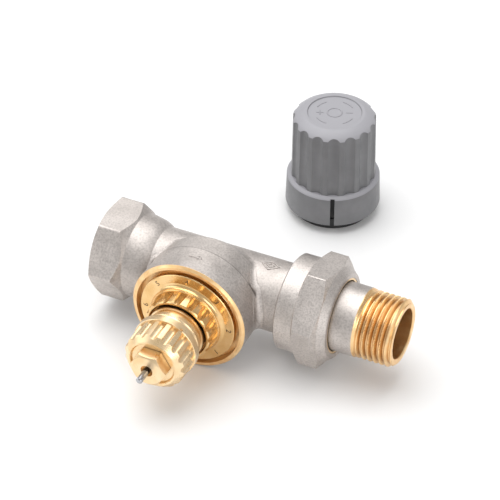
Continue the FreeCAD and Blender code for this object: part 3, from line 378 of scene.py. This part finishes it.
LOOKS = {
    "cast": plated_look("nickel_blasted", "x", bare_on_body, shade_line_share=lines_on_body),
    "nut": plated_look("nickel_turned", "x", bare_in_nut, grain=2000, grain_depth=0.06,
                       roughness=0.46),
    "tail": plated_look("nickel_tail", "x", bare_on_tail, grain_depth=0.04, roughness=0.46),
    "disc": brass_look("brass_polished", "y", 0.2, GOLDEN_BRASS),
    "brass": brass_look("brass_turned", "y", 0.27, line_scale=3600, line_strength=0.4),
    "pipe_brass": brass_look("brass_pipe", "x", 0.28),
    "steel": steel_look("steel_drawn", 0.2),
    "rubber": plastic_look("rubber_black", srgb(22, 22, 23), srgb(28, 28, 29),
                           srgb(36, 36, 37), 0.6, grain=3000, grain_depth=0.02),
    "polymer": plastic_look("polymer_white", srgb(208, 204, 194), srgb(218, 214, 205),
                            srgb(226, 223, 215), 0.4),
    # The grey cap gets a painted lighter top.
    "grey": plastic_look("cap_grey_moulded", srgb(106, 106, 108), srgb(111, 111, 113),
                         srgb(117, 117, 119), 0.4, painted_top_light=srgb(158, 157, 162)),
    "black": plastic_look("cap_black_moulded", srgb(30, 30, 31), srgb(36, 36, 37),
                          srgb(44, 44, 45), 0.38),
    "ink": plastic_look("dial_mark_dark", srgb(70, 48, 24), srgb(86, 60, 30),
                        srgb(104, 74, 40), 0.5),
}

NODE_LOOKS = {
    "cast": ("valve_body",),
    "nut": ("union_nut",),
    "tail": ("tailpiece",),
    "disc": ("preset_ring",),
    "brass": ("neck_insert", "gland_nut", "bonnet", "seat_ring", "gland_washer",
              "plug_holder", "plug_rivet"),
    "pipe_brass": ("slip_ring",),
    "steel": ("pressure_pin", "spindle", "spring_retainer", "retaining_clip",
              "return_spring", "cap_snap_ring"),
    "rubber": ("bonnet_o_ring", "tail_o_ring", "neck_o_ring", "gland_o_ring", "plug_seal"),
    "polymer": ("preset_cylinder", "gland_bush"),
    "grey": ("cap_shell", "cap_retainer"),
    "black": ("cap_bush", "cap_pusher"),
}

for look_name, node_names in NODE_LOOKS.items():
    for node_name in node_names:
        for material_slot in NODES[node_name].material_slots:
            material_slot.material = LOOKS[look_name]


# --- building pieces -----------------------------------------------------------------
def finish_piece(piece, body, look):
    piece.data.materials.append(LOOKS[look])
    bpy.context.scene.collection.objects.link(piece)
    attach(piece, body)
    return piece


def grid_piece(name, rows, body, look):
    """Closed mesh from rows of points; the last row joins the first, and each row closes
    on itself."""
    shape = bmesh.new()
    made = [[shape.verts.new(point) for point in row] for row in rows]
    count = len(rows)
    width = len(rows[0])
    for low in range(count):
        high = (low + 1) % count
        for column in range(width):
            after = (column + 1) % width
            corners = [made[low][column], made[low][after],
                       made[high][after], made[high][column]]
            shape.faces.new(corners)
    bmesh.ops.remove_doubles(shape, verts=shape.verts, dist=0.0005 * MM)
    bmesh.ops.recalc_face_normals(shape, faces=shape.faces)
    for face in shape.faces:
        face.smooth = True
    for edge in shape.edges:
        if len(edge.link_faces) == 2 and edge.calc_face_angle(0) > math.radians(35):
            edge.smooth = False
    mesh = bpy.data.meshes.new(name)
    shape.to_mesh(mesh)
    shape.free()
    return finish_piece(bpy.data.objects.new(name, mesh), body, look)


def ridge(name, strokes, radius, body, look, closed=False):
    """Raised line that follows each stroke, a list of points on a surface."""
    curve = bpy.data.curves.new(name, "CURVE")
    curve.dimensions = "3D"
    curve.bevel_depth = radius
    curve.bevel_resolution = 3
    curve.use_fill_caps = True
    for stroke in strokes:
        spline = curve.splines.new("POLY")
        spline.points.add(len(stroke) - 1)
        spline.use_cyclic_u = closed
        for point, place in zip(spline.points, stroke):
            point.co = (*place, 1.0)
    return finish_piece(bpy.data.objects.new(name, curve), body, look)


# --- fillet where the forged tube runs into the boss ---------------------------------
FILLET_R = 2.2 * MM
FILLET_STEPS = 240
FILLET_ARC = 10


def skin_of(node_name):
    """Search tree of a CAD node's surface."""
    mesh = NODES[node_name].data
    corners = [vertex.co for vertex in mesh.vertices]
    return BVHTree.FromPolygons(corners, [face.vertices[:] for face in mesh.polygons])


BODY_SKIN = skin_of("valve_body")


def drop(x, y):
    """Highest point of the valve body at x, y."""
    hit = BODY_SKIN.ray_cast(Vector((x, y, BOSS_R * 2)), Vector((0, 0, -1)))[0]
    return hit.z


def boss_profile(tube_r):
    """Points (s, radius) of the boss, read along its top where it stands clear of the tube."""
    start = -8 * MM
    end = -BOSS_FRONT_Y - BOSS_CHAMFER
    count = 700
    points = []
    for step in range(count):
        s = start + (end - start) * step / (count - 1)
        radius = drop(0.0, -s)
        tube_top = math.sqrt(max(tube_r ** 2 - s ** 2, 0.0))
        if radius > tube_top + 0.02 * MM:
            points.append(Vector((s, radius)))
    return points


def fillet_section(angle, profile, tube_r):
    """Ball centre and its two contacts, at an angle round the spindle from +X."""
    reach = tube_r + FILLET_R
    across = max(abs(math.sin(angle)), 1e-4)
    low, high = 1e-5, math.radians(125)
    for _ in range(40):
        turn = (low + high) / 2
        s = reach * math.cos(turn)
        rho = reach * math.sin(turn) / across
        nearest = min(profile, key=lambda point: (point.x - s) ** 2 + (point.y - rho) ** 2)
        gap = math.hypot(nearest.x - s, nearest.y - rho)
        if rho < nearest.y or gap < FILLET_R:
            low = turn
        else:
            high = turn
    side_x, side_z = math.cos(angle), math.sin(angle)
    centre = Vector((rho * side_x, -s, rho * side_z))
    on_boss = Vector((nearest.y * side_x, -nearest.x, nearest.y * side_z))
    to_tube = Vector((0.0, -centre.y, -centre.z)).normalized()
    to_boss = (on_boss - centre).normalized()
    return centre, to_tube, to_boss


def boss_fillet():
    tube_r = drop(BODY_HIGH.x * 0.64, 0.0)
    profile = boss_profile(tube_r)
    columns = []
    for step in range(FILLET_STEPS):
        angle = 2 * math.pi * (step + 0.5) / FILLET_STEPS
        centre, to_tube, to_boss = fillet_section(angle, profile, tube_r)
        opening = to_tube.angle(to_boss)
        column = []
        for part in range(FILLET_ARC + 1):
            share = part / FILLET_ARC
            aim = (to_tube * math.sin((1 - share) * opening)
                   + to_boss * math.sin(share * opening)) / max(math.sin(opening), 1e-6)
            sink = 0.006 * MM if part in (0, FILLET_ARC) else 0.0
            column.append(centre + aim.normalized() * (FILLET_R + sink))
        root = (to_tube + to_boss).normalized()
        column.append(centre + root * (FILLET_R / max(math.cos(opening / 2), 0.2) + 0.3 * MM))
        columns.append(column)
    rows = [[column[part] for column in columns] for part in range(FILLET_ARC + 2)]
    return grid_piece("boss_fillet", rows, "valve", "cast")


boss_fillet()


# --- raised marks of the forging ------------------------------------------------------
MARK_RIDGE_R = 0.26 * MM
LOZENGE_PLACE = (17.5 * MM, 0.2 * MM)
LOZENGE_HALF = (2.7 * MM, 1.9 * MM)
ARROW_PLACE = (-0.3 * MM, -13.9 * MM)
ARROW_HALF = 2.0 * MM
ARROW_BARB = 0.9 * MM


def on_body(place, offsets):
    """Points on the top of the valve body, at offsets from place."""
    return [Vector((place[0] + x, place[1] + y, drop(place[0] + x, place[1] + y)))
            for x, y in offsets]


def along(corners, parts=8):
    """Points on the straight lines from corner to corner."""
    points = []
    for first, last in zip(corners, corners[1:]):
        for part in range(parts):
            share = part / parts
            points.append([a + (b - a) * share for a, b in zip(first, last)])
    return points + [corners[-1]]


def lozenge_mark(name, share):
    half_x, half_y = (size * share for size in LOZENGE_HALF)
    corners = [(half_x, 0), (0, half_y), (-half_x, 0), (0, -half_y), (half_x, 0)]
    ridge(name, [on_body(LOZENGE_PLACE, along(corners)[:-1])], MARK_RIDGE_R, "valve",
          "cast", closed=True)


def flow_arrow():
    shaft = along([(-ARROW_HALF, 0), (ARROW_HALF, 0)])
    head = along([(ARROW_HALF - ARROW_BARB, ARROW_BARB), (ARROW_HALF, 0),
                  (ARROW_HALF - ARROW_BARB, -ARROW_BARB)])
    ridge("flow_arrow", [on_body(ARROW_PLACE, shaft), on_body(ARROW_PLACE, head)],
          MARK_RIDGE_R, "valve", "cast")


lozenge_mark("lozenge_outer", 1.0)
lozenge_mark("lozenge_inner", 0.45)
flow_arrow()


# --- tail with its pipe thread --------------------------------------------------------
PITCH = 25.4 / 14 * MM
TAIL_PIPE_R = 10.6 * MM
TAIL_THREAD_R = 10.4 * MM
THREAD_DEPTH = 1.16 * MM
CREST_SHARE = 0.2             # share of a pitch that is flat crest
FLANK_SHARE = 0.3
THREAD_COLUMNS = 864
NOTCHES = 144                 # notches round each crest that hold the sealing hemp
NOTCH_DEPTH = 0.26 * MM
TAIL_BEVEL = 1.1 * MM
RUN_OUT = 1.4                 # pitches over which the thread fades into the pipe


def thread_height(phase):
    """0 at the root and 1 at the crest, for a place within one pitch."""
    phase %= 1.0
    if phase < CREST_SHARE:
        return 1.0
    if phase < CREST_SHARE + FLANK_SHARE:
        return 1.0 - (phase - CREST_SHARE) / FLANK_SHARE
    if phase < 1.0 - FLANK_SHARE:
        return 0.0
    return (phase - 1.0 + FLANK_SHARE) / FLANK_SHARE


def thread_radius(x, angle):
    along = (x - THREAD_START_X) / PITCH
    phase = along - angle / (2 * math.pi)
    height = thread_height(phase)
    fade = min(max(along / RUN_OUT, 0.0), 1.0)
    crest = TAIL_PIPE_R + (TAIL_THREAD_R - TAIL_PIPE_R) * min(fade * 3, 1.0)
    radius = crest - THREAD_DEPTH * (1 - height) * fade
    turns_left = (TAIL_HIGH.x - x) / PITCH
    if height > 0.9 and 1.2 < turns_left < 4.9:
        radius -= NOTCH_DEPTH * (0.5 + 0.5 * math.cos(NOTCHES * angle)) ** 2
    bevel = TAIL_THREAD_R - TAIL_BEVEL + (TAIL_HIGH.x - x)
    return min(radius, bevel)


THREAD_STOPS = (0.0, CREST_SHARE / 2, CREST_SHARE, CREST_SHARE + FLANK_SHARE / 2,
                CREST_SHARE + FLANK_SHARE, 1.0 - FLANK_SHARE, 1.0 - FLANK_SHARE / 2)


def place_on_pipe(x, radius, angle):
    return Vector((x, radius * math.sin(angle), radius * math.cos(angle)))


def thread_columns():
    """For each angle, the points along the thread: where its profile bends at that angle."""
    columns = []
    turns = math.ceil((TAIL_HIGH.x - THREAD_START_X) / PITCH) + 1
    for column in range(THREAD_COLUMNS):
        angle = 2 * math.pi * column / THREAD_COLUMNS
        shift = angle / (2 * math.pi)
        bends = [(turn + stop + shift) * PITCH for turn in range(-1, turns)
                 for stop in THREAD_STOPS]
        columns.append((angle, [THREAD_START_X + bend for bend in bends]))
    return columns


def tail_thread():
    shape = bmesh.new()
    first_x = THREAD_START_X
    last_x = TAIL_HIGH.x
    columns = thread_columns()
    stops = len(THREAD_STOPS)
    made = []
    for angle, places in columns:
        made.append([
            shape.verts.new(place_on_pipe(x, thread_radius(x, angle), angle))
            for x in (min(max(place, first_x), last_x) for place in places)])
    rows = len(made[0])
    for column in range(THREAD_COLUMNS):
        after = (column + 1) % THREAD_COLUMNS
        lift = stops if after == 0 else 0
        for row in range(rows - 1):
            low_after = min(row + lift, rows - 1)
            high_after = min(row + 1 + lift, rows - 1)
            corners = [made[column][row], made[column][row + 1],
                       made[after][high_after], made[after][low_after]]
            if len(set(corners)) >= 3:
                shape.faces.new(list(dict.fromkeys(corners)))
    lathe = [
        (first_x, TAIL_PIPE_R),
        (first_x - 0.2 * MM, TAIL_PIPE_R),
        *tail_plain_profile(),
        (last_x - 0.3 * MM, TAIL_BORE_R),
        (last_x, TAIL_BORE_R + 0.3 * MM),
    ]
    rings = []
    for x, radius in lathe:
        rings.append([shape.verts.new(place_on_pipe(x, radius, angle)) for angle, _ in columns])
    rings[0] = [column[0] for column in made]
    rings.append([column[-1] for column in made])
    for low, high in zip(rings, rings[1:]):
        for column in range(THREAD_COLUMNS):
            after = (column + 1) % THREAD_COLUMNS
            shape.faces.new([low[column], low[after], high[after], high[column]])
    bmesh.ops.remove_doubles(shape, verts=shape.verts, dist=0.0005 * MM)
    bmesh.ops.dissolve_degenerate(shape, edges=shape.edges, dist=0.0002 * MM)
    loose = [vertex for vertex in shape.verts if not vertex.link_faces]
    bmesh.ops.delete(shape, geom=loose, context="VERTS")
    bmesh.ops.recalc_face_normals(shape, faces=shape.faces)
    for face in shape.faces:
        face.smooth = True
    for edge in shape.edges:
        if len(edge.link_faces) == 2 and edge.calc_face_angle(0) > math.radians(28):
            edge.smooth = False
    mesh = bpy.data.meshes.new("tail_with_thread")
    shape.to_mesh(mesh)
    shape.free()
    piece = bpy.data.objects.new("tail_with_thread", mesh)
    finish_piece(piece, "valve", "tail")
    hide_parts("tailpiece")
    return piece


TAIL_NECK_LENGTH = 22.6 * MM   # outlet face back to the collar of the tail
TAIL_COLLAR_T = 1.0 * MM
TAIL_NOSE_R = 10.0 * MM
SEAL_GROOVE_R = 8.7 * MM
SEAL_GROOVE_OFFSET = 1.9 * MM  # back of the collar to the middle of the groove
SEAL_GROOVE_HALF = 0.7 * MM


def tail_plain_profile():
    """The turned tail from the pipe back to its nose and out through the bore."""
    collar_front = TAIL_HIGH.x - TAIL_NECK_LENGTH
    collar_back = collar_front - TAIL_COLLAR_T
    nose = TAIL_LOW.x
    collar_r = TAIL_HIGH.z
    groove_middle = collar_back - SEAL_GROOVE_OFFSET
    groove_front = groove_middle + SEAL_GROOVE_HALF
    groove_back = groove_middle - SEAL_GROOVE_HALF
    return [
        (collar_front, TAIL_PIPE_R),
        (collar_front, collar_r),
        (collar_back, collar_r),
        (collar_back, TAIL_NOSE_R),
        (groove_front, TAIL_NOSE_R),
        (groove_front, SEAL_GROOVE_R),
        (groove_back, SEAL_GROOVE_R),
        (groove_back, TAIL_NOSE_R),
        (nose + 0.3 * MM, TAIL_NOSE_R),
        (nose, TAIL_NOSE_R - 0.3 * MM),
        (nose, TAIL_BORE_R),
    ]


tail_thread()


# --- numbers on the setting ring --------------------------------------------------------
DIGIT_RADIUS = 13.5 * MM
DIGIT_SIZE = 2.3 * MM
DIGIT_FIRST_ANGLE = 136.0     # clockwise from the top, seen from the pin
DIGIT_STEP = -45.0
DISC_FRONT_Y = RING_HIGH.y - 1.8 * MM
MARK_PROUD = 0.03 * MM


def dial_digit(number):
    curve = bpy.data.curves.new("dial_digit_%d" % number, "FONT")
    curve.body = str(number)
    curve.size = DIGIT_SIZE
    curve.align_x = "CENTER"
    curve.align_y = "CENTER"
    curve.extrude = MARK_PROUD
    angle = math.radians(DIGIT_FIRST_ANGLE + DIGIT_STEP * (number - 1))
    out = Vector((math.sin(angle), 0, math.cos(angle)))
    across = Vector((math.cos(angle), 0, -math.sin(angle)))
    place = Matrix((across, out, Vector((0, -1, 0)))).transposed().to_4x4()
    place.translation = out * DIGIT_RADIUS + Vector((0, DISC_FRONT_Y, 0))
    piece = bpy.data.objects.new(curve.name, curve)
    bpy.context.scene.collection.objects.link(piece)
    bpy.context.view_layer.update()
    mesh = bpy.data.meshes.new_from_object(
        piece.evaluated_get(bpy.context.evaluated_depsgraph_get()))
    bpy.data.objects.remove(piece)
    mesh.transform(place)
    mesh.name = "dial_digit_%d" % number
    return finish_piece(bpy.data.objects.new(mesh.name, mesh), "setting_ring",
                        "ink")


for number in range(1, 8):
    dial_digit(number)


# --- signs on top of the cap -------------------------------------------------------------
WELL_Z = CAP_HIGH.z - 0.35 * MM
CAP_FACING = math.radians(-67.0)     # the side of the cap that looks at the user


def on_cap(radius, angle):
    """Point in the well on top of the cap; angle from the side that faces the user."""
    turn = CAP_FACING + angle
    return Vector((CAP_CENTRE.x + radius * math.cos(turn),
                   CAP_CENTRE.y + radius * math.sin(turn), WELL_Z))


def cap_arc(radius, start, end, count=24):
    return [on_cap(radius, math.radians(start + (end - start) * step / (count - 1)))
            for step in range(count)]


def cap_signs():
    right = (on_cap(MM, math.radians(90)) - on_cap(0, 0)).normalized()
    away = (on_cap(MM, math.radians(180)) - on_cap(0, 0)).normalized()
    middle = on_cap(0, 0)
    plus = middle - right * 4.6 * MM
    minus = middle + right * 4.6 * MM
    arm = 1.1 * MM
    strokes = [
        [plus - right * arm, plus + right * arm],
        [plus - away * arm, plus + away * arm],
        [minus - right * arm, minus + right * arm],
        cap_arc(6.2 * MM, 25, 62),
        cap_arc(6.2 * MM, -25, -62),
        cap_arc(6.2 * MM, 118, 155),
        cap_arc(6.2 * MM, -118, -155),
    ]
    ridge("cap_signs", strokes, 0.16 * MM, "cap_hood", "grey")
    ridge("cap_centre_circle", [cap_arc(2.3 * MM, 0, 352, 46)], 0.16 * MM, "cap_hood",
          "grey", closed=True)


cap_signs()


# --- floor, light and camera ----------------------------------------------------------------
def floor():
    look = Look("floor_pale", roughness=0.9)
    look.set("Base Color", look.ramp(look.noise(9, 3.0), (0.3, srgb(240, 240, 240)),
                                     (0.7, srgb(243, 243, 243))))
    look.set("Normal", look.bump(look.noise(900, 2.0), 0.05, 0.02 * MM))
    mesh = bpy.data.meshes.new("floor")
    reach = 4.0
    mesh.from_pydata([(-reach, -reach, FLOOR_Z), (reach, -reach, FLOOR_Z),
                      (reach, reach, FLOOR_Z), (-reach, reach, FLOOR_Z)], [], [(0, 1, 2, 3)])
    mesh.materials.append(look.material)
    plane = bpy.data.objects.new("floor", mesh)
    bpy.context.scene.collection.objects.link(plane)


def soft_box(name, place, size, power, target=(0.01, 0.0, 0.0)):
    light = bpy.data.lights.new(name, "AREA")
    light.shape = "RECTANGLE"
    light.size, light.size_y = size
    light.energy = power
    lamp = bpy.data.objects.new(name, light)
    lamp.location = place
    lamp.rotation_euler = (Vector(target) - Vector(place)).to_track_quat("-Z", "Y").to_euler()
    bpy.context.scene.collection.objects.link(lamp)


def studio():
    world = bpy.data.worlds.new("studio")
    world.use_nodes = True
    background = world.node_tree.nodes["Background"]
    background.inputs["Color"].default_value = (1.0, 1.0, 1.0, 1.0)
    background.inputs["Strength"].default_value = 0.58
    bpy.context.scene.world = world
    soft_box("light_above", (-0.25, 0.15, 1.0), (1.2, 1.2), 10.5)
    soft_box("light_left", (-0.9, -0.5, 0.45), (0.5, 0.8), 1.6)
    soft_box("light_right", (0.8, -0.7, 0.5), (0.4, 0.8), 3.0)
    bpy.context.scene.view_settings.view_transform = "Standard"


CAMERA_AZIMUTH = math.radians(26.3)
CAMERA_ELEVATION = math.radians(39.7)
CAMERA_DISTANCE = 0.759
CAMERA_LENS = 182.6
AIM_RIGHT = 9.87 * MM         # the camera aims this far right of the origin
AIM_UP = 8.17 * MM            # and this far above it, in the picture


def camera():
    back = Vector((math.cos(CAMERA_ELEVATION) * math.sin(CAMERA_AZIMUTH),
                   -math.cos(CAMERA_ELEVATION) * math.cos(CAMERA_AZIMUTH),
                   math.sin(CAMERA_ELEVATION)))
    right = Vector((math.cos(CAMERA_AZIMUTH), math.sin(CAMERA_AZIMUTH), 0.0))
    up = back.cross(right)
    lens = bpy.data.cameras.new("camera")
    lens.lens = CAMERA_LENS
    lens.sensor_width = 36.0
    lens.clip_start = 0.05
    lens.clip_end = 20.0
    eye = bpy.data.objects.new("camera", lens)
    eye.location = back * CAMERA_DISTANCE
    aim = right * AIM_RIGHT + up * AIM_UP - eye.location
    eye.rotation_euler = aim.to_track_quat("-Z", "Y").to_euler()
    bpy.context.scene.collection.objects.link(eye)
    bpy.context.scene.camera = eye


floor()
studio()
camera()

bpy.context.view_layer.update()
